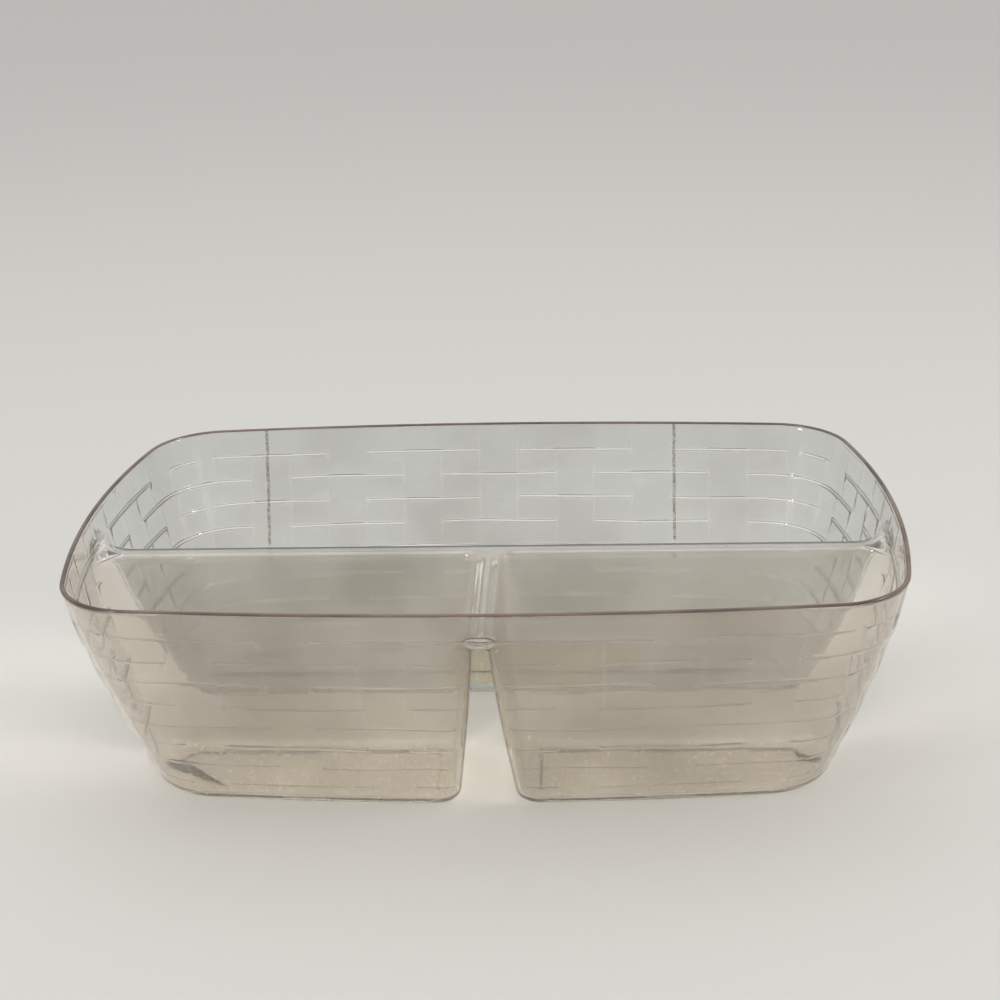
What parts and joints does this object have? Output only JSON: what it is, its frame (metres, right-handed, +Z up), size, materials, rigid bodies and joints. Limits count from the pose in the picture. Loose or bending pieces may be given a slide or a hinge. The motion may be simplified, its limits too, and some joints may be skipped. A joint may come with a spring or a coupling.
{
  "type": "chip and dip server",
  "caption": "Clear moulded tray with stepped sloping walls: a long chip bowl behind, dip cups in front, hung under one shared rim and parted by hollow dividers.",
  "frame": {"origin": "on the ground under the middle of the rim", "axes": "+X to the right along the tray, +Y to the back where the chip bowl is, +Z up"},
  "size_m": [0.35, 0.224, 0.104],
  "materials": {
    "rim_plastic": "clear moulded polystyrene, polished",
    "bowl_plastic": "clear moulded polystyrene, polished",
    "cup_plastic": "clear moulded polystyrene, polished",
    "label_paper": "aged uncoated paper"
  },
  "bodies": {
    "root": {"rim_band": "rim_plastic", "chip_bowl": "bowl_plastic", "left_dip_cup": "cup_plastic", "right_dip_cup": "cup_plastic", "long_divider_cap": "bowl_plastic", "cross_divider_cap": "cup_plastic", "base_label": "label_paper"}
  },
  "joints": []
}
